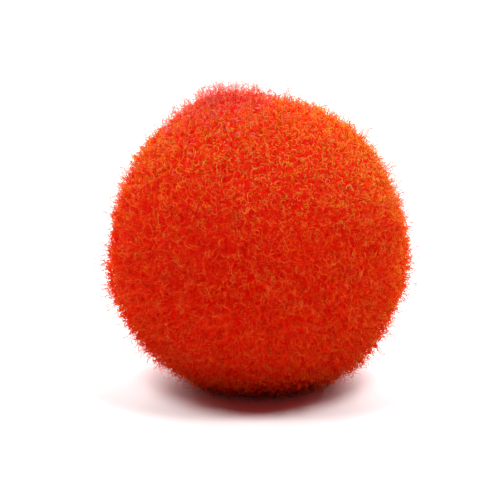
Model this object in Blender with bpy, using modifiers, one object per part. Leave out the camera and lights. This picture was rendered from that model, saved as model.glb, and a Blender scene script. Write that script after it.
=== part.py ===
"""A yarn pom pom at rest: 240 locks of cut yarn that stand out from one core and are trimmed to a ball.

Every lock is one cell of a grid that is wrapped round the ball. It rises from the core, where the roots
are fused, widens towards the trimmed surface and ends in a low dome. The locks under the ball are shorter
and end level with the surface that it rests on. Metres, +Z up, the front of the ball towards -Y.
"""

import math
import random
from typing import NamedTuple

import bmesh
import bpy
from mathutils import Matrix, Vector

# Driving sizes. The middle lies lower than the radius, because the ball is a little flat where it rests.
PILE_DIAMETER = 0.038
BALL_RADIUS = PILE_DIAMETER / 2
CENTRE_HEIGHT = 0.925 * BALL_RADIUS
CORE_RADIUS = 0.60 * BALL_RADIUS

# The grid that parts the pile into locks: how often its faces are cut, and how far it is turned.
GRID_LEVELS = 2
GRID_TURN = math.radians(20)

# How uneven the locks are: a cell's corners in shares of a cell, a lock's reach in shares of the whole.
CORNER_SHIFT = 0.16
TRIM_ERROR = 0.016
SEED = 11

# The yarn's finish.
YARN_COLOUR = (0.80, 0.075, 0.015, 1.0)
YARN_ROUGHNESS = 0.85
SMOOTH_UNDER = math.radians(40)


class Ring(NamedTuple):
    """One ring of a lock: how much of its cell it fills, and how far it lies under the cut end."""

    share: float
    depth: float


# A lock's root fills this share of its cell and rises this far out of the core.
ROOT_SHARE = 0.78
ROOT_RISE = 0.0006

# Its end is rounded over three rings.
END_RINGS = (
    Ring(share=0.89, depth=0.0015),
    Ring(share=0.81, depth=0.0006),
    Ring(share=0.52, depth=0.00015),
)


class Lump(NamedTuple):
    """A place where the ball is fuller or flatter: its direction, its angle across and its height."""

    right: float
    back: float
    up: float
    spread: float
    height: float


# Heights are shares of the radius. The last three rows lie on the sides that the photograph doesn't show.
LUMPS = (
    Lump(right=-0.25, back=0.10, up=0.96, spread=12, height=0.065),
    Lump(right=0.08, back=0.15, up=1.00, spread=11, height=-0.025),
    Lump(right=0.93, back=0.07, up=0.34, spread=24, height=-0.025),
    Lump(right=0.99, back=-0.03, up=-0.16, spread=11, height=0.040),
    Lump(right=0.63, back=-0.16, up=-0.77, spread=15, height=0.040),
    Lump(right=-0.57, back=-0.17, up=-0.80, spread=18, height=0.025),
    Lump(right=-0.90, back=-0.09, up=-0.43, spread=15, height=0.030),
    Lump(right=-0.99, back=0.02, up=0.13, spread=17, height=-0.045),
    Lump(right=-0.15, back=-0.97, up=-0.10, spread=24, height=0.015),
    Lump(right=0.45, back=0.85, up=0.25, spread=26, height=0.025),
    Lump(right=-0.55, back=0.80, up=-0.15, spread=22, height=-0.025),
    Lump(right=-0.10, back=0.85, up=0.60, spread=18, height=0.020),
)


def clear_scene():
    for old in list(bpy.data.objects):
        bpy.data.objects.remove(old)


def form_height(direction):
    """How much fuller the ball is in a direction, as a share of its radius."""
    total = 0.0
    for lump in LUMPS:
        away = direction.angle(Vector((lump.right, lump.back, lump.up)))
        total += lump.height * math.exp(-((away / math.radians(lump.spread)) ** 2))
    return total


def trimmed_reach(direction, trim):
    """How far from the ball's middle a lock is cut, where trim is the lock's own share of the form."""
    return BALL_RADIUS * (1 + form_height(direction)) * trim


def floor_reach(direction):
    """How far from the ball's middle the floor is, which nothing meets in a level or rising direction."""
    return CENTRE_HEIGHT / -direction.z if direction.z < 0 else math.inf


def reach(direction, trim):
    return min(trimmed_reach(direction, trim), floor_reach(direction))


def quad_grid():
    """A twenty-sided solid with its faces cut into quads twice over: 240 cells, alike in size."""
    grid = bmesh.new()
    bmesh.ops.create_icosphere(grid, subdivisions=1, radius=1)
    mesh = bpy.data.meshes.new("grid")
    grid.to_mesh(mesh)
    helper = bpy.data.objects.new("grid", mesh)
    bpy.context.scene.collection.objects.link(helper)
    cut = helper.modifiers.new("cut", "SUBSURF")
    cut.levels = cut.render_levels = GRID_LEVELS
    grid.clear()
    grid.from_object(helper, bpy.context.evaluated_depsgraph_get())
    bpy.data.objects.remove(helper)
    bpy.data.meshes.remove(mesh)
    return grid


def core_grid(rng):
    """The core: a ball with a cell for each lock, the lowest facing straight down, its corners uneven."""
    grid = quad_grid()
    lowest = min(grid.faces, key=lambda cell: cell.calc_center_median().normalized().z)
    downwards = lowest.calc_center_median().rotation_difference(Vector((0, 0, -1)))
    turn = Matrix.Rotation(GRID_TURN, 3, "Z") @ downwards.to_matrix()
    bmesh.ops.rotate(grid, verts=grid.verts[:], matrix=turn)
    cell_angle = math.sqrt(4 * math.pi / len(grid.faces))
    for corner in grid.verts:
        shift = CORNER_SHIFT * cell_angle * Vector([rng.uniform(-1, 1) for _ in range(3)])
        corner.co = CORE_RADIUS * (corner.co.normalized() + shift).normalized()
    return grid


def set_ring(face, corners, middle, share, distance):
    """Puts a lock's face on a ring: its corners at a share of the cell's, each at its own distance."""
    for vertex, corner in zip(face.verts, corners):
        direction = middle.lerp(corner, share).normalized()
        vertex.co = direction * distance(direction)


def grow_lock(grid, cell, trim):
    """Raises one lock from its cell of the core to the trimmed surface, or level with the floor."""
    corners = [vertex.co.normalized() for vertex in cell.verts]
    middle = sum(corners, Vector()).normalized()
    on_floor = floor_reach(middle) < trimmed_reach(middle, trim)
    bmesh.ops.inset_individual(grid, faces=[cell], thickness=0.0)
    set_ring(cell, corners, middle, ROOT_SHARE, lambda direction: CORE_RADIUS + ROOT_RISE)
    for ring in END_RINGS:
        cell = bmesh.ops.extrude_discrete_faces(grid, faces=[cell])["faces"][0]
        depth = 0.0 if on_floor and ring is END_RINGS[-1] else ring.depth
        set_ring(cell, corners, middle, ring.share, lambda direction: reach(direction, trim) - depth)
    tip = bmesh.ops.poke(grid, faces=[cell])["verts"][0]
    tip.co = middle * reach(middle, trim)


def yarn_material():
    material = bpy.data.materials.new("orange_yarn")
    material.use_nodes = True
    finish = material.node_tree.nodes["Principled BSDF"].inputs
    finish["Base Color"].default_value = YARN_COLOUR
    finish["Roughness"].default_value = YARN_ROUGHNESS
    finish["Metallic"].default_value = 0.0
    material.diffuse_color = YARN_COLOUR
    return material


def stand_on_origin(grid):
    """Lifts the ball onto the floor and puts the middle of its box, seen from above, at the origin."""
    lift = Vector((0, 0, CENTRE_HEIGHT))
    for axis in (0, 1):
        places = [vertex.co[axis] for vertex in grid.verts]
        lift[axis] = -(min(places) + max(places)) / 2
    bmesh.ops.translate(grid, verts=grid.verts[:], vec=lift)


def make_pom_pom():
    rng = random.Random(SEED)
    grid = core_grid(rng)
    for cell in grid.faces[:]:
        grow_lock(grid, cell, trim=1 + rng.uniform(-TRIM_ERROR, TRIM_ERROR))
    stand_on_origin(grid)
    mesh = bpy.data.meshes.new("pom_pom")
    grid.to_mesh(mesh)
    grid.free()
    mesh.shade_smooth()
    mesh.set_sharp_from_angle(angle=SMOOTH_UNDER)
    mesh.materials.append(yarn_material())
    return bpy.data.objects.new("pom_pom", mesh)


def main():
    clear_scene()
    collection = bpy.data.collections.new("Yarn pom pom")
    bpy.context.scene.collection.children.link(collection)
    collection.objects.link(make_pom_pom())


main()
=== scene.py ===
"""The looks of a yarn pom pom: a felted core, a crimped pile in five parts, a loose tuft and stray fibres.

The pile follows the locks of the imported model, so it is exactly as round, lumpy and flat as they are.
Lengths are in metres, +Z is up, and the front of the ball faces -Y.
"""

import math
from typing import NamedTuple

import bpy
import numpy as np
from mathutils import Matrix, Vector, noise


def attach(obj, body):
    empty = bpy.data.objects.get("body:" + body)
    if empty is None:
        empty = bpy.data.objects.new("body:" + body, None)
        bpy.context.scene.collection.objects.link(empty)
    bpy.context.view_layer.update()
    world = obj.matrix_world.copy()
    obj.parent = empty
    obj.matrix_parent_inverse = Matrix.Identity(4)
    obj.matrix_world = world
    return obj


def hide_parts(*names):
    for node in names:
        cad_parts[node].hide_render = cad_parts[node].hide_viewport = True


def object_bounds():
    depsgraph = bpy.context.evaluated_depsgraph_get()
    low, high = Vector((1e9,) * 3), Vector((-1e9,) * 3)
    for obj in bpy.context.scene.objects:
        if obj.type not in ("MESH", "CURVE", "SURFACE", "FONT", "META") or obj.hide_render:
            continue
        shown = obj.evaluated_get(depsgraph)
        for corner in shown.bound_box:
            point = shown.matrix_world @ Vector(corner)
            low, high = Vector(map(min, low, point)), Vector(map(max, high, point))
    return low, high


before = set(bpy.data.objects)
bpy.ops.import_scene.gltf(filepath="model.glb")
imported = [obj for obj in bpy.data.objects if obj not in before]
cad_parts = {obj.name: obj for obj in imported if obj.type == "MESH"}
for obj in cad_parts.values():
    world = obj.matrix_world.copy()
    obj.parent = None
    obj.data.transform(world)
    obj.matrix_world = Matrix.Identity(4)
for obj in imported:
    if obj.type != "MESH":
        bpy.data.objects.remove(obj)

bl_info = {
    "name": "Yarn Pom Pom",
    "version": (1, 0, 0),
    "blender": (4, 5, 0),
    "location": "3D View > Sidebar > Pom Pom",
    "description": "Dresses a ball of yarn locks with a crimped, trimmed pile and its stray fuzz",
    "category": "Object",
}

NODE = "pom_pom"
BODY = "root"

# The fibres' map, which is also the one that the export bakes into.
FIBRE_MAP = "OFBake"

MM = 0.001
CAD_LOW, CAD_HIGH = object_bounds()
RADIUS = (CAD_HIGH.x - CAD_LOW.x + CAD_HIGH.y - CAD_LOW.y) / 4

# The middle lies lower than the radius, because the ball is a little flat where it rests.
MIDDLE_HEIGHT = 0.925
MIDDLE = np.array((0.0, 0.0, MIDDLE_HEIGHT * RADIUS))

# Where the photograph, 500 pixels across, has the ball.
FRAME_PIXELS = 500
BALL_WIDE_PIXELS = 299.5
BALL_AT_PIXELS = (259.4, 245.2)

# The form is read from the locks at this many places. Each sees the locks about this near it, and among
# their points the farthest from the middle count most, by this power. Between places it is blended.
FORM_PLACES = 900
FORM_SEES = math.radians(4.5)
FORM_POWER = 90
FORM_BLEND = math.radians(4)

# How far all that is made stays over the table, and the core a little farther than the fibres.
FLOOR_SKIN = 0.03 * MM
CORE_SKIN = 0.12 * MM

# Where the loose, pinker tuft is, to the right, to the back and up.
CROWN = np.array((-0.24, 0.02, 0.95)) / np.linalg.norm((-0.24, 0.02, 0.95))

# How wide the pinker part of the pile is there, in radians, and how much of it is pinker, where 1 is all.
CROWN_WIDTH = 0.28
CROWN_SHARE = 1.5

# A fibre has three sides. Its tone is its place across the map, where it takes up a strip this wide.
FIBRE_SIDES = 3
TONE_STRIP = 0.004

# Along a fibre, and how much of its width it has there. Single fibres are thinner or thicker by a share.
TAPER = ((0, 0.2, 0.8, 1), (0.9, 1.0, 0.8, 0.0))
WIDTH_SHARES = (0.75, 1.2)

# Single fibres are crimped less or more by a share, and lean over late, by this power of their length.
CRIMP_SHARES = (0.6, 1.4)
LATE_LEAN = 1.3

# How much paler the pile is painted from the ball's foot to its top, as painted light from above and painted
# shade at the foot, and how much paler it is painted to the right, as painted light from that side.
PAINTED_LIGHT_BY_HEIGHT = ((-0.9, -0.3, 0.2, 0.45, 0.7, 0.9), (0.02, 0.04, 0.13, 0.62, 0.94, 0.90))
PAINTED_LIGHT_TO_RIGHT = 0.32

# Towards the right one of each pair of lights. The left one mirrors it.
TOP_LIGHT = Vector((0.38, -0.14, 0.92))
BACK_LIGHT = Vector((0.42, 0.84, 0.34))
TABLE_WIDTH = 6.0


class PileSettings(bpy.types.PropertyGroup):
    fibres: bpy.props.IntProperty(
        name="Fibres", description="Fibre ends over the whole ball", default=18000, min=100)
    thickness: bpy.props.FloatProperty(
        name="Thickness", description="Width of one fibre", default=0.145 * MM, unit="LENGTH", precision=6)
    depth: bpy.props.FloatProperty(
        name="Depth", description="How far under the surface an end starts", default=0.80 * MM,
        unit="LENGTH", precision=6)
    proud: bpy.props.FloatProperty(
        name="Proud", description="How far the cut ends stand over the locks' ends", default=0.12 * MM,
        unit="LENGTH", precision=6)
    scatter: bpy.props.FloatProperty(
        name="Scatter", description="How unevenly single fibres are cut", default=0.50 * MM,
        unit="LENGTH", precision=6)
    crimp: bpy.props.FloatProperty(
        name="Crimp", description="Radius of the crimp", default=0.22 * MM, unit="LENGTH", precision=6)
    clumps: bpy.props.IntProperty(
        name="Clumps", description="Small tufts in which the ends gather", default=3000, min=10)
    dome: bpy.props.FloatProperty(
        name="Dome", description="How much higher a clump's middle is than its edge", default=0.30 * MM,
        unit="LENGTH", precision=6)
    clump_lift: bpy.props.FloatProperty(
        name="Clump lift", description="How unevenly whole clumps are cut", default=0.12 * MM,
        unit="LENGTH", precision=6)
    gather: bpy.props.FloatProperty(
        name="Gather", description="How far ends lean into their clump", default=0.25, min=0, max=1,
        subtype="FACTOR")
    lean: bpy.props.FloatProperty(
        name="Lean", description="How far a fibre end lies over to one side", default=0.55 * MM,
        unit="LENGTH", precision=6)
    seed: bpy.props.IntProperty(name="Seed", description="Which pile of many is made", default=5)


class FuzzSettings(bpy.types.PropertyGroup):
    strays: bpy.props.IntProperty(
        name="Strays", description="Thin fibres that stand out of the trimmed pile", default=9800, min=10)
    thickness: bpy.props.FloatProperty(
        name="Thickness", description="Width of a stray fibre", default=0.048 * MM,
        unit="LENGTH", precision=6)
    rise: bpy.props.FloatProperty(
        name="Rise", description="How far strays stand out", default=1.00 * MM, unit="LENGTH", precision=6)
    curl: bpy.props.FloatProperty(
        name="Curl", description="Radius of a stray fibre's curl", default=0.20 * MM,
        unit="LENGTH", precision=6)
    tuft_fibres: bpy.props.IntProperty(
        name="Tuft fibres", description="Fibres in the loose tuft on the crown", default=460, min=10)
    tuft_rise: bpy.props.FloatProperty(
        name="Tuft rise", description="How far the loose tuft stands out", default=1.70 * MM,
        unit="LENGTH", precision=6)


class ColourSettings(bpy.types.PropertyGroup):
    # Deep is painted shade: the fibres' roots, deep in the pile, and the pile's lowest tones at its foot
    # take it.
    deep: bpy.props.FloatVectorProperty(
        name="Deep", description="Yarn where the pile is deepest", default=(0.88, 0.002, 0.0004),
        size=3, subtype="COLOR", min=0, max=1)
    yarn: bpy.props.FloatVectorProperty(
        name="Yarn", description="The yarn's own orange red", default=(0.94, 0.034, 0.0012),
        size=3, subtype="COLOR", min=0, max=1)
    # Pale is painted light: the pile's ends take it as painted highlights, and its highest tones, painted
    # paler at the top and to the right, lean to it.
    pale: bpy.props.FloatVectorProperty(
        name="Pale", description="The palest fibre ends", default=(0.98, 0.32, 0.06),
        size=3, subtype="COLOR", min=0, max=1)
    pink: bpy.props.FloatVectorProperty(
        name="Pink", description="The loose tuft on the crown", default=(1.0, 0.16, 0.10),
        size=3, subtype="COLOR", min=0, max=1)
    pale_pink: bpy.props.FloatVectorProperty(
        name="Pale pink", description="What the tuft's palest fibres lean to", default=(1.0, 0.62, 0.50),
        size=3, subtype="COLOR", min=0, max=1)
    # The tuft's ends are painted highlights.
    pink_ends: bpy.props.FloatVectorProperty(
        name="Pink ends", description="The ends of the tuft's fibres", default=(1.0, 0.25, 0.17),
        size=3, subtype="COLOR", min=0, max=1)
    stray: bpy.props.FloatVectorProperty(
        name="Stray", description="The deepest stray fibres", default=(0.95, 0.020, 0.0010),
        size=3, subtype="COLOR", min=0, max=1)
    # The strays painted paler at the top, as painted light, lean to pale stray.
    pale_stray: bpy.props.FloatVectorProperty(
        name="Pale stray", description="The palest stray fibres", default=(1.0, 0.14, 0.01),
        size=3, subtype="COLOR", min=0, max=1)
    # The strays' ends are painted highlights, where light catches and shines through them.
    stray_ends: bpy.props.FloatVectorProperty(
        name="Stray ends", description="The ends of stray fibres", default=(1.0, 0.50, 0.18),
        size=3, subtype="COLOR", min=0, max=1)
    # The core's hollows are painted shade and its lumps painted light, following its relief.
    shaded_felt_hollows: bpy.props.FloatVectorProperty(
        name="Felt hollows", description="The core's hollows", default=(0.97, 0.002, 0.0004),
        size=3, subtype="COLOR", min=0, max=1)
    felt: bpy.props.FloatVectorProperty(
        name="Felt", description="The core between its hollows and lumps", default=(0.98, 0.018, 0.001),
        size=3, subtype="COLOR", min=0, max=1)
    lit_felt_lumps: bpy.props.FloatVectorProperty(
        name="Felt lumps", description="The core's lumps", default=(0.98, 0.045, 0.0015),
        size=3, subtype="COLOR", min=0, max=1)
    surface: bpy.props.FloatVectorProperty(
        name="Surface", description="The table under the ball", default=(0.86, 0.86, 0.86),
        size=3, subtype="COLOR", min=0, max=1)


class StageSettings(bpy.types.PropertyGroup):
    elevation: bpy.props.FloatProperty(
        name="Elevation", description="How high the camera looks from", default=math.radians(12),
        unit="ROTATION")
    lens: bpy.props.FloatProperty(name="Lens", description="Focal length in millimetres", default=100)
    top: bpy.props.FloatProperty(
        name="Top lights", description="Strength of the two soft lights over the ball", default=2.05)
    top_width: bpy.props.FloatProperty(
        name="Top width", description="How wide each light over the ball is", default=math.radians(18),
        unit="ROTATION")
    top_uneven: bpy.props.FloatProperty(
        name="Top uneven", description="How much stronger the right one of them is, and the left one weaker",
        default=0.10, subtype="FACTOR")
    back: bpy.props.FloatProperty(
        name="Back lights", description="Strength of the two wide lights behind the ball", default=3.1)
    back_width: bpy.props.FloatProperty(
        name="Back width", description="How wide each light behind the ball is", default=math.radians(44),
        unit="ROTATION")
    room: bpy.props.FloatProperty(name="Room", description="Brightness of the room", default=0.05)


# ---------------------------------------------------------------- shader maths

class Wire:
    """A socket of a material that Python's operators work on, each adding a Math node."""

    def __init__(self, shader, socket):
        self.shader = shader
        self.socket = socket

    def maths(self, operation, *values):
        return self.shader.node("ShaderNodeMath", {"operation": operation}, dict(enumerate(values)))

    def __add__(self, other):
        return self.maths("ADD", self, other)

    def __radd__(self, other):
        return self.maths("ADD", other, self)

    def __sub__(self, other):
        return self.maths("SUBTRACT", self, other)

    def __rsub__(self, other):
        return self.maths("SUBTRACT", other, self)

    def __mul__(self, other):
        return self.maths("MULTIPLY", self, other)

    def __rmul__(self, other):
        return self.maths("MULTIPLY", other, self)

    def __pow__(self, other):
        return self.maths("POWER", self, other)

    def __rpow__(self, other):
        return self.maths("POWER", other, self)

    def clamped(self):
        return self.shader.node("ShaderNodeClamp", inputs={0: self})


class Shader:
    """The nodes of a material or a world, put together one by one."""

    def __init__(self, owner):
        owner.use_nodes = True
        self.owner = owner
        self.tree = owner.node_tree
        self.tree.nodes.clear()

    def node(self, kind, settings=None, inputs=None, out=0):
        """Adds a node: its settings first, a ramp's stops among them, then its sockets' values or links."""
        made = self.tree.nodes.new(kind)
        for name, value in (settings or {}).items():
            if name == "stops":
                set_stops(made.color_ramp, value)
            else:
                setattr(made, name, value)
        for name, value in (inputs or {}).items():
            if isinstance(value, Wire):
                self.tree.links.new(value.socket, made.inputs[name])
            else:
                made.inputs[name].default_value = value
        return None if out is None else Wire(self, made.outputs[out])

    def mix(self, factor, first, second):
        """Mixes two colours; the sockets 6 and 7 of a Mix node are its colours."""
        return self.node("ShaderNodeMix", {"data_type": "RGBA"}, {0: factor, 6: first, 7: second}, out=2)

    def finish(self, surface, kind="ShaderNodeOutputMaterial"):
        self.node(kind, inputs={"Surface": surface}, out=None)
        return self.owner


def set_stops(ramp, stops):
    """Gives a ramp its (place, colour) stops."""
    while len(ramp.elements) > len(stops):
        ramp.elements.remove(ramp.elements[-1])
    while len(ramp.elements) < len(stops):
        ramp.elements.new(1.0)
    for element, (place, colour) in zip(ramp.elements, stops):
        element.position = place
        element.color = colour


def opaque(colour):
    return (*colour, 1.0)


def between(first, second, share):
    return tuple(a + (b - a) * share for a, b in zip(first, second))


# ---------------------------------------------------------------- materials

class FibreFinish(NamedTuple):
    """How a kind of fibre ends and takes light.

    The fibres end in the colour of the ends, the paler tones most, and the higher paling is, the nearer the
    end that begins: these pale ends are painted highlights, where light catches and shines through them.
    Reach says how far red, green and blue light get in a fibre, in millimetres: red passes through a whole
    one. Glow is the tint of its soft sheen.
    """

    ends: tuple
    paling: float
    reach: tuple
    glow: tuple


def fibre_material(name, colours, tones, finish):
    """Yarn fibres. The map runs across the tones of the yarn and, the other way, from root to end.

    A fibre is nearly the deep colour at its root, painted shade deep in the pile, goes over to its own tone
    in its lower half and pales from there to its end, a painted highlight where light catches the ends.
    """
    shader = Shader(bpy.data.materials.new(name))
    place = shader.node("ShaderNodeUVMap", {"uv_map": FIBRE_MAP})
    tone = shader.node("ShaderNodeSeparateXYZ", inputs={0: place}, out=0)
    along = shader.node("ShaderNodeSeparateXYZ", inputs={0: place}, out=1)
    middle = shader.node("ShaderNodeValToRGB", {"stops": tones}, {0: tone})
    # The root is painted shade: nearly the deep colour, where the pile shades it.
    root = shader.mix(0.95, middle, opaque(colours.deep))
    # The paler tones' ends are painted highlights: light caught on and shining through the fibres' ends.
    end = shader.mix((tone * 0.95 + 0.06).clamped(), middle, opaque(finish.ends))
    lower_half = shader.mix((along * 1.9 - 0.5).clamped(), root, middle)
    colour = shader.mix(along ** finish.paling, lower_half, end)
    yarn = shader.node("ShaderNodeBsdfPrincipled", inputs={
        "Base Color": colour, "Roughness": 0.6, "Specular IOR Level": 0.02,
        "Sheen Weight": 1.0, "Sheen Roughness": 0.5, "Sheen Tint": opaque(finish.glow),
        "Subsurface Weight": 1.0, "Subsurface Radius": finish.reach, "Subsurface Scale": MM})
    return shader.finish(yarn)


def pile_material(colours):
    tones = (
        (0.00, opaque(colours.deep)),
        (0.25, opaque(between(colours.deep, colours.yarn, 0.25))),
        (0.50, opaque(colours.yarn)),
        (0.75, opaque(between(colours.yarn, colours.pale, 0.30))),
        (1.00, opaque(colours.pale)))
    # The pile's ends are painted highlights in the pale colour.
    finish = FibreFinish(
        ends=colours.pale, paling=4.0, reach=(0.3, 0.23, 0.012), glow=(1.0, 0.05, 0.01))
    return fibre_material("orange_pile", colours, tones, finish)


def fuzz_material(colours):
    tones = (
        (0.00, opaque(colours.stray)),
        (1.00, opaque(colours.pale_stray)))
    # The strays' ends are painted highlights.
    finish = FibreFinish(
        ends=colours.stray_ends, paling=3.0, reach=(0.3, 0.06, 0.008), glow=(1.0, 0.14, 0.04))
    return fibre_material("pale_fuzz", colours, tones, finish)


def tuft_material(colours):
    tones = (
        (0.00, opaque(colours.yarn)),
        (0.45, opaque(colours.pink)),
        (1.00, opaque(between(colours.pink, colours.pale_pink, 0.6))))
    # The tuft's ends are painted highlights.
    finish = FibreFinish(
        ends=colours.pink_ends, paling=3.0, reach=(0.15, 0.02, 0.02), glow=(1.0, 0.16, 0.12))
    return fibre_material("pink_tuft", colours, tones, finish)


def core_material(colours):
    """The felted tangle that shows between the fibre ends."""
    shader = Shader(bpy.data.materials.new("felted_core"))
    place = shader.node("ShaderNodeTexCoord", out=3)
    tangle = shader.node("ShaderNodeTexNoise", inputs={
        "Vector": place, "Scale": 1500.0, "Detail": 3.0, "Roughness": 0.6, "Distortion": 1.4})
    patches = shader.node("ShaderNodeTexNoise", inputs={
        "Vector": place, "Scale": 420.0, "Detail": 2.0, "Roughness": 0.55})
    # Where the tangle's relief is low the felt is painted deeper, as painted shade in its hollows, and paler
    # on its lumps, as painted light; the patches are the felt's own mottling.
    tone = tangle * 0.65 + patches * 0.35
    tones = (
        (0.34, opaque(colours.shaded_felt_hollows)),
        (0.52, opaque(colours.felt)),
        (0.68, opaque(colours.lit_felt_lumps)))
    colour = shader.node("ShaderNodeValToRGB", {"stops": tones}, {0: tone})
    relief = shader.node("ShaderNodeBump", inputs={
        "Strength": 0.8, "Distance": 0.12 * MM, "Height": tangle})
    felt = shader.node("ShaderNodeBsdfPrincipled", inputs={
        "Base Color": colour, "Roughness": 0.8, "Specular IOR Level": 0.15, "Normal": relief,
        "Subsurface Weight": 1.0, "Subsurface Radius": (1.0, 0.02, 0.01), "Subsurface Scale": 9 * MM})
    return shader.finish(felt)


def table_material(colours):
    shader = Shader(bpy.data.materials.new("white_table"))
    top = shader.node("ShaderNodeBsdfPrincipled", inputs={
        "Base Color": opaque(colours.surface), "Roughness": 0.6, "Specular IOR Level": 0.15})
    return shader.finish(top)


def dim_room(settings):
    shader = Shader(bpy.data.worlds.new("dim_room"))
    light = shader.node("ShaderNodeBackground", inputs={"Strength": settings.room})
    return shader.finish(light, "ShaderNodeOutputWorld")


# ---------------------------------------------------------------- the form

def unit(vectors):
    return vectors / np.linalg.norm(vectors, axis=-1, keepdims=True)


def spread_directions(count):
    """Directions spread evenly over a ball, on a spiral of golden angles."""
    steps = np.arange(count) + 0.5
    height = 1 - 2 * steps / count
    turn = steps * math.pi * (3 - math.sqrt(5))
    ring = np.sqrt(1 - height ** 2)
    return np.stack([ring * np.cos(turn), ring * np.sin(turn), height], axis=-1)


def tangents(directions):
    """Two unit vectors across each direction."""
    helper = np.where(np.abs(directions[:, 2:]) < 0.9, [[0.0, 0.0, 1.0]], [[1.0, 0.0, 0.0]])
    first = unit(np.cross(directions, helper))
    return first, np.cross(directions, first)


class Form:
    """How far the trimmed pile reaches from the ball's middle, read from the locks' ends."""

    def __init__(self):
        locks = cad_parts[NODE].data
        points = np.empty(len(locks.vertices) * 3, np.float32)
        locks.vertices.foreach_get("co", points)
        points = points.reshape(-1, 3) - MIDDLE
        far = np.linalg.norm(points, axis=1)
        self.places = spread_directions(FORM_PLACES)
        near = np.exp((self.places @ (points / far[:, None]).T - 1) / FORM_SEES ** 2)
        weights = near * (far / RADIUS) ** FORM_POWER
        self.reaches = weights @ far / weights.sum(axis=1)

    def reach(self, directions):
        weights = np.exp((directions @ self.places.T - 1) / FORM_BLEND ** 2)
        surface = weights @ self.reaches / weights.sum(axis=1)
        drop = np.maximum(-directions[:, 2], 1e-6)
        return np.minimum(surface, (MIDDLE[2] - FLOOR_SKIN) / drop)


def near_crown(directions):
    """1 at the middle of the loose tuft, and less the farther from it."""
    return np.exp((directions @ CROWN - 1) / CROWN_WIDTH ** 2)


def keep_above_table(points, skin):
    points[..., 2] = np.maximum(points[..., 2], skin)
    return points


# ---------------------------------------------------------------- fibres as meshes

def fibre_pattern(rings):
    """The faces of one fibre, as loops of (ring, side) corners: its sides, its pointed end and its root."""
    faces = []
    for ring in range(rings - 1):
        for side in range(FIBRE_SIDES):
            faces.append([(ring, side), (ring, side + 1), (ring + 1, side + 1), (ring + 1, side)])
    for side in range(FIBRE_SIDES):
        faces.append([(rings - 1, side), (rings - 1, side + 1), (rings, side)])
    faces.append([(0, side) for side in reversed(range(FIBRE_SIDES))])
    return faces


def fibres_mesh(name, paths, widths, tones):
    """One mesh of closed fibres. Each runs along its path and ends in a point."""
    count, points = paths.shape[:2]
    rings = points - 1
    ahead = unit(np.gradient(paths, axis=1))
    across = unit(np.cross(ahead, tangents(unit(paths[:, -1] - paths[:, 0]))[0][:, None]))
    above = np.cross(ahead, across)
    turns = 2 * math.pi * np.arange(FIBRE_SIDES) / FIBRE_SIDES
    round_it = (across[:, :rings, None] * np.cos(turns)[:, None]
                + above[:, :rings, None] * np.sin(turns)[:, None])
    walls = paths[:, :rings, None] + round_it * widths[:, :rings, None, None] / 2
    corners = np.concatenate([walls.reshape(count, -1, 3), paths[:, -1:]], axis=1)
    per_fibre = corners.shape[1]

    faces = fibre_pattern(rings)
    loops = [corner for face in faces for corner in face]
    index = np.array([
        ring * FIBRE_SIDES + side % FIBRE_SIDES if ring < rings else per_fibre - 1 for ring, side in loops])
    across_map = np.array([side / FIBRE_SIDES for _, side in loops]) * TONE_STRIP
    along_map = np.array([ring / rings for ring, _ in loops])
    sizes = np.array([len(face) for face in faces])

    mesh = bpy.data.meshes.new(name)
    mesh.vertices.add(count * per_fibre)
    mesh.vertices.foreach_set("co", corners.astype(np.float32).ravel())
    mesh.loops.add(count * len(loops))
    firsts = np.arange(count)[:, None]
    mesh.loops.foreach_set("vertex_index", (index + firsts * per_fibre).astype(np.int32).ravel())
    mesh.polygons.add(count * len(faces))
    starts = np.concatenate([[0], np.cumsum(sizes)[:-1]])
    mesh.polygons.foreach_set("loop_start", (starts + firsts * len(loops)).astype(np.int32).ravel())
    mesh.update(calc_edges=True)
    layer = mesh.uv_layers.new(name=FIBRE_MAP)
    places = np.stack(np.broadcast_arrays(tones[:, None] + across_map, along_map[None]), axis=-1)
    layer.uv.foreach_set("vector", places.astype(np.float32).ravel())
    mesh.shade_smooth()
    mesh.validate()
    return mesh


def add_piece(mesh, material):
    """Puts a finished mesh in the scene in place of the plain locks."""
    piece = bpy.data.objects.new(mesh.name, mesh)
    bpy.context.scene.collection.objects.link(piece)
    mesh.materials.append(material)
    adopt(piece)


def adopt(piece):
    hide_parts(NODE)
    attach(piece, BODY)


# ---------------------------------------------------------------- clumps and paths

def leaning(directions, low, high, rng):
    """A push across each direction, to a random side, as a share of the radius."""
    first, second = tangents(directions)
    heading = rng.uniform(0, 2 * math.pi, len(directions))[:, None]
    amount = rng.uniform(low, high, len(directions))[:, None] / RADIUS
    return amount * (np.cos(heading) * first + np.sin(heading) * second)


class Clumps:
    """The small tufts of the pile: where they stand, how high they are cut, how they lean and their tone."""

    # How far a clump stands from its even place, in shares of the spacing, how much the clumps' tones
    # differ, and how much of the pile's lean a whole clump has at least and at most.
    shift = 0.45
    tone_spread = 0.14
    lean_shares = (0.1, 0.6)

    # For how many directions at a time the nearest clump is looked up, which keeps the memory small.
    batch = 4000

    def __init__(self, settings, rng):
        count = settings.clumps
        self.spacing = math.sqrt(4 * math.pi / count)
        centres = spread_directions(count)
        self.centres = unit(centres + rng.uniform(-self.shift, self.shift, (count, 3)) * self.spacing)
        self.lift = np.clip(rng.normal(0, 1, count), -2, 2) * settings.clump_lift
        self.tone = rng.normal(0, self.tone_spread, count)
        least, most = self.lean_shares
        self.lean = leaning(self.centres, least * settings.lean, most * settings.lean, rng)

    def nearest(self, directions):
        found = np.empty(len(directions), int)
        for start in range(0, len(directions), self.batch):
            part = directions[start:start + self.batch]
            found[start:start + self.batch] = (part @ self.centres.T).argmax(axis=1)
        return found


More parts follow.
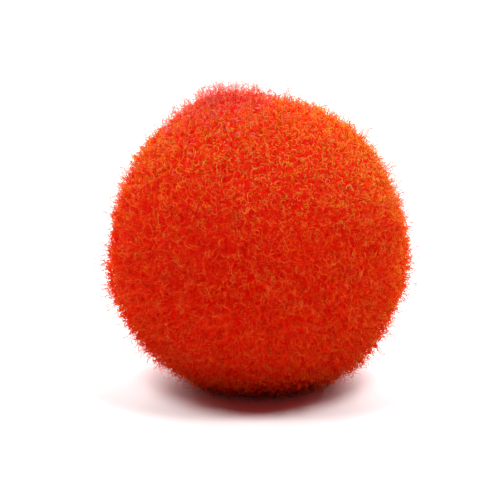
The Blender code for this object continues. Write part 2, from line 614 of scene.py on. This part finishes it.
def crimped_paths(starts, heads, low, high, crimp, turns, fold, points, rng):
    """Paths from low to high that go over from starts to heads, curl all the way, and may fold back down.

    Turns and fold are angles, the least and the most: how far round the curl goes, and how far over its way
    from low to high a path is bent, where more than a right angle brings its end down again.
    """
    count = len(starts)
    share = np.linspace(0, 1, points)[None, :, None]
    over = share ** LATE_LEAN
    headings = unit(starts[:, None] * (1 - over) + heads[:, None] * over)
    folded = rng.uniform(*fold, count)[:, None, None]
    rise = np.sin(share * folded) / np.sin(np.minimum(folded, math.pi / 2))
    far = low[:, None, None] + (high - low)[:, None, None] * rise
    first, second = tangents(starts)
    phase = rng.uniform(0, 2 * math.pi, count)[:, None, None]
    spin = (rng.choice((-1, 1), count) * rng.uniform(*turns, count))[:, None, None]
    size = (crimp * rng.uniform(*CRIMP_SHARES, count))[:, None, None]
    wave = (np.cos(phase + spin * share) - np.cos(phase)) * first[:, None]
    wave = wave + (np.sin(phase + spin * share) - np.sin(phase)) * second[:, None]
    return MIDDLE + headings * far + wave * size


def fibre_widths(thickness, points, count, rng):
    """Full width for most of a fibre's length, then drawn in to its end."""
    taper = np.interp(np.linspace(0, 1, points), *TAPER)
    return thickness * rng.uniform(*WIDTH_SHARES, count)[:, None] * taper


# ---------------------------------------------------------------- operators

class POMPOM_OT_core(bpy.types.Operator):
    """Make the felted tangle under the fibre ends"""

    bl_idname = "pompom.core"
    bl_label = "Felted core"

    depth: bpy.props.FloatProperty(
        name="Depth", description="How far the core lies under the trimmed ends", default=0.65 * MM,
        unit="LENGTH", precision=6)
    lump_height: bpy.props.FloatProperty(
        name="Lump height", description="Relief of the core's lumps", default=0.20 * MM,
        unit="LENGTH", precision=6)
    lump_width: bpy.props.FloatProperty(
        name="Lump width", description="Size of the core's lumps", default=1.1 * MM,
        unit="LENGTH", precision=6)

    # How much lower and how much smaller each finer size of lumps is, and how many sizes there are.
    lump_noise = (0.6, 2.1, 3)

    def execute(self, context):
        bpy.ops.object.select_all(action="DESELECT")
        bpy.ops.mesh.primitive_ico_sphere_add(subdivisions=6, radius=1, location=(0, 0, 0))
        core = context.object
        core.name = core.data.name = "felted_core"
        directions = np.empty(len(core.data.vertices) * 3, np.float32)
        core.data.vertices.foreach_get("co", directions)
        directions = unit(directions.reshape(-1, 3).astype(float))
        reach = Form().reach(directions)
        grain = RADIUS / self.lump_width
        relief = np.array([noise.fractal(Vector(place) * grain, *self.lump_noise) for place in directions])
        far = reach - self.depth + self.lump_height * relief
        points = keep_above_table(MIDDLE + directions * far[:, None], CORE_SKIN)
        core.data.vertices.foreach_set("co", points.astype(np.float32).ravel())
        core.data.update()
        core.data.shade_smooth()
        core.data.materials.append(core_material(context.scene.pompom_colours))
        adopt(core)
        return {"FINISHED"}


class POMPOM_OT_pile(bpy.types.Operator):
    """Make the trimmed pile, a quarter of the ball at a time, and the pinker fibres of its crown"""

    bl_idname = "pompom.pile"
    bl_label = "Crimped pile"

    # The points along a fibre, and how far round and how far over it is bent.
    points = 7
    turns = (4.0, 8.5)
    fold = (1.6, 2.8)

    # How far a fibre stands from its even place, in shares of the spacing, and by which shares its root is
    # less deep or deeper.
    shift = 0.5
    root_shares = (0.8, 1.2)

    # How high single fibres are cut, in shares of the scatter: most a little short, and a few proud. Proud
    # fibres are thinner, by their cut and their share of the width.
    cut_evenness = 2.2
    highest_cut = 1.0
    proud_widths = ((0.0, 1.0), (1.0, 0.70))

    # A clump is a dome: out to this share of the spacing from its middle the fibres are longer.
    dome_reach = 0.4

    # How much paler a fibre is painted for a proud cut and for the dome, as painted light on what stands
    # highest in the pile, and how much single fibres differ.
    painted_light_on_cut = 0.08
    painted_light_on_dome = 0.5
    tone_spread = 0.06
    tone_range = (0.02, 0.98)

    def execute(self, context):
        settings = context.scene.pompom_pile
        rng = np.random.default_rng(settings.seed)
        form, clumps = Form(), Clumps(settings, rng)
        colours = context.scene.pompom_colours
        materials = {"pile_crown": tuft_material(colours)}
        yarn = pile_material(colours)
        spacing = math.sqrt(4 * math.pi / settings.fibres)
        directions = spread_directions(settings.fibres)
        directions = unit(directions + rng.uniform(-self.shift, self.shift, directions.shape) * spacing)
        pinker = rng.random(settings.fibres) < CROWN_SHARE * near_crown(directions)
        for name, part in self.parts(directions, pinker):
            mesh = self.part_mesh(name, directions[part], settings, form, clumps, rng)
            add_piece(mesh, materials.get(name, yarn))
        return {"FINISHED"}

    @staticmethod
    def parts(directions, pinker):
        front, upper = directions[:, 1] < 0, directions[:, 2] > 0
        yield "pile_crown", pinker
        for level, high in (("upper", upper), ("lower", ~upper)):
            for side, near in (("front", front), ("back", ~front)):
                yield f"pile_{level}_{side}", ~pinker & high & near

    def part_mesh(self, name, starts, settings, form, clumps, rng):
        count = len(starts)
        own = clumps.nearest(starts)
        gathered = settings.gather * (clumps.centres[own] - starts)
        dome = self.dome_reach - np.linalg.norm(clumps.centres[own] - starts, axis=1) / clumps.spacing
        heads = unit(starts + gathered + clumps.lean[own] + leaning(starts, 0.0, settings.lean, rng))
        surface = form.reach(heads)
        height = rng.gamma(self.cut_evenness, 1.0, count) / self.cut_evenness - 1
        height = np.minimum(height, self.highest_cut)
        high = surface + settings.proud + clumps.lift[own] + height * settings.scatter
        high = high + settings.dome * dome
        low = surface - settings.depth * rng.uniform(*self.root_shares, count)
        paths = crimped_paths(
            starts, heads, low, high, settings.crimp, self.turns, self.fold, self.points, rng)
        keep_above_table(paths, FLOOR_SKIN + settings.thickness / 2)
        # The tones are painted paler towards the top and the right, as painted light, and deeper at the
        # foot, as painted shade.
        tones = np.interp(starts[:, 2], *PAINTED_LIGHT_BY_HEIGHT) + PAINTED_LIGHT_TO_RIGHT * starts[:, 0]
        # Proud fibres and the middles of clumps are painted paler, as painted light on the highest ends; the
        # clumps' own tones differ at random.
        tones = tones + self.painted_light_on_cut * height + clumps.tone[own] + self.painted_light_on_dome * dome
        tones = np.clip(tones + rng.normal(0, self.tone_spread, count), *self.tone_range)
        widths = fibre_widths(settings.thickness, self.points, count, rng)
        widths = widths * np.interp(height, *self.proud_widths)[:, None]
        return fibres_mesh(name, paths, widths, tones)


class POMPOM_OT_fuzz(bpy.types.Operator):
    """Make the stray fibres and the loose tuft on the crown"""

    bl_idname = "pompom.fuzz"
    bl_label = "Stray fuzz"

    # The points along a fibre, how far round and how far over it is bent, and how far under the trimmed
    # surface it starts.
    points = 7
    turns = (5.0, 10.5)
    fold = (1.5, 2.9)
    root_depth = 0.35 * MM

    # How far strays stand out, in shares of their rise: most a little, and a few far. Below the upper of two
    # heights they are shorter, down to a share at the lower one.
    rise_evenness, rise_size, rise_less, rise_most = 1.6, 0.62, 0.1, 2.1
    rise_by_height = ((-0.8, -0.5), (0.7, 1.0))

    # The strays' tone half-way up the ball, how much it differs, and how much paler they are painted to the
    # top, as painted light from above.
    tone, tone_spread, tone_to_top = 0.32, 0.15, 0.60
    tone_range = (0.02, 0.99)

    # How far the tuft is spread, to the right, to the back and up, its fibres' rise in shares of the whole,
    # and their tones.
    tuft_spread = (0.156, 0.117, 0.065)
    tuft_rises = (-0.2, 1.1)
    tuft_tone, tuft_tone_spread = 0.5, 0.2
    tuft_tone_range = (0.05, 0.98)

    # How far a loose fibre's end wanders from over its root, in radians.
    stray_wander, tuft_wander = 0.04, 0.07

    def execute(self, context):
        settings, colours = context.scene.pompom_fuzz, context.scene.pompom_colours
        rng = np.random.default_rng(context.scene.pompom_pile.seed + 1)
        form = Form()
        self.strays(settings, fuzz_material(colours), form, rng)
        self.tuft(settings, tuft_material(colours), form, rng)
        return {"FINISHED"}

    def strays(self, settings, material, form, rng):
        starts = unit(rng.normal(0, 1, (settings.strays, 3)))
        shares = rng.gamma(self.rise_evenness, self.rise_size, settings.strays) - self.rise_less
        rise = settings.rise * np.minimum(shares, self.rise_most)
        rise = rise * np.interp(starts[:, 2], *self.rise_by_height)
        # Strays are painted paler towards the top, as painted light from above.
        tones = rng.normal(self.tone, self.tone_spread, settings.strays) + self.tone_to_top * starts[:, 2]
        tones = np.clip(tones, *self.tone_range)
        upper = starts[:, 2] > 0
        for name, part in (("upper_fuzz", upper), ("lower_fuzz", ~upper)):
            mesh = self.loose_mesh(
                name, starts[part], rise[part], tones[part], self.stray_wander, settings, form, rng)
            add_piece(mesh, material)

    def tuft(self, settings, material, form, rng):
        count = settings.tuft_fibres
        starts = unit(CROWN + rng.normal(0, 1, (count, 3)) * self.tuft_spread)
        rise = settings.tuft_rise * rng.uniform(*self.tuft_rises, count)
        tones = np.clip(rng.normal(self.tuft_tone, self.tuft_tone_spread, count), *self.tuft_tone_range)
        mesh = self.loose_mesh("crown_tuft", starts, rise, tones, self.tuft_wander, settings, form, rng)
        add_piece(mesh, material)

    def loose_mesh(self, name, starts, rise, tones, wander, settings, form, rng):
        count = len(starts)
        heads = unit(starts + rng.normal(0, wander, (count, 3)))
        surface = form.reach(heads)
        paths = crimped_paths(
            starts, heads, surface - self.root_depth, surface + rise, settings.curl, self.turns, self.fold,
            self.points, rng)
        keep_above_table(paths, FLOOR_SKIN + settings.thickness / 2)
        widths = fibre_widths(settings.thickness, self.points, count, rng)
        return fibres_mesh(name, paths, widths, tones)


class POMPOM_OT_stage(bpy.types.Operator):
    """Set the table, the soft lights and the camera"""

    bl_idname = "pompom.stage"
    bl_label = "Stage"

    def execute(self, context):
        self.table(context)
        self.lights(context)
        self.camera(context)
        return {"FINISHED"}

    def table(self, context):
        bpy.ops.object.select_all(action="DESELECT")
        bpy.ops.mesh.primitive_plane_add(size=TABLE_WIDTH, location=(0, 0, 0))
        table = context.object
        table.name = "table_top"
        table.data.materials.append(table_material(context.scene.pompom_colours))

    def lights(self, context):
        settings = context.scene.pompom_stage
        context.scene.world = dim_room(settings)
        for side, name in ((-1, "left"), (1, "right")):
            top = settings.top * (1 + settings.top_uneven * side)
            self.soft_sun("top_" + name, TOP_LIGHT, side, settings.top_width, top)
            self.soft_sun("back_" + name, BACK_LIGHT, side, settings.back_width, settings.back)

    @staticmethod
    def soft_sun(name, towards, side, width, strength):
        light = bpy.data.lights.new(name, "SUN")
        light.angle = width
        light.energy = strength
        lamp = bpy.data.objects.new(name, light)
        bpy.context.scene.collection.objects.link(lamp)
        mirrored = Vector((side * towards.x, towards.y, towards.z))
        lamp.rotation_euler = mirrored.to_track_quat("Z", "Y").to_euler()

    def camera(self, context):
        """Frames the ball as the photograph does: its width, its place and the height of the view."""
        settings = context.scene.pompom_stage
        lens = bpy.data.cameras.new("camera")
        lens.lens = settings.lens
        lens.clip_start, lens.clip_end = 0.01, 10
        half_view = lens.sensor_width / 2 / lens.lens
        seen = half_view * BALL_WIDE_PIXELS / FRAME_PIXELS
        distance = RADIUS * math.sqrt(1 + 1 / seen ** 2)
        pixel = 2 * half_view * distance / FRAME_PIXELS
        camera = bpy.data.objects.new("camera", lens)
        context.scene.collection.objects.link(camera)
        rise = settings.elevation
        back = Vector((0, -math.cos(rise), math.sin(rise)))
        up = Vector((0, math.sin(rise), math.cos(rise)))
        right = Vector((1, 0, 0))
        half = FRAME_PIXELS / 2
        aside = right * (half - BALL_AT_PIXELS[0]) + up * (BALL_AT_PIXELS[1] - half)
        camera.location = Vector(MIDDLE) + back * distance + aside * pixel
        camera.rotation_euler = (-back).to_track_quat("-Z", "Y").to_euler()
        context.scene.camera = camera
        context.scene.view_settings.view_transform = "Standard"


class POMPOM_PT_panel(bpy.types.Panel):
    """The steps that dress the pom pom, in order"""

    bl_idname = "POMPOM_PT_panel"
    bl_label = "Pom Pom"
    bl_space_type = "VIEW_3D"
    bl_region_type = "UI"
    bl_category = "Pom Pom"

    def draw(self, context):
        for step in STEPS:
            self.layout.operator(step.bl_idname)


SETTINGS = {
    "pompom_pile": PileSettings,
    "pompom_fuzz": FuzzSettings,
    "pompom_colours": ColourSettings,
    "pompom_stage": StageSettings,
}
STEPS = (POMPOM_OT_stage, POMPOM_OT_core, POMPOM_OT_pile, POMPOM_OT_fuzz)


def register():
    for made in (*SETTINGS.values(), *STEPS, POMPOM_PT_panel):
        bpy.utils.register_class(made)
    for name, group in SETTINGS.items():
        setattr(bpy.types.Scene, name, bpy.props.PointerProperty(type=group))


def unregister():
    for name in SETTINGS:
        delattr(bpy.types.Scene, name)
    for made in reversed((*SETTINGS.values(), *STEPS, POMPOM_PT_panel)):
        bpy.utils.unregister_class(made)


def main():
    register()
    bpy.ops.pompom.stage()
    bpy.ops.pompom.core()
    bpy.ops.pompom.pile()
    bpy.ops.pompom.fuzz()


if __name__ == "__main__":
    main()
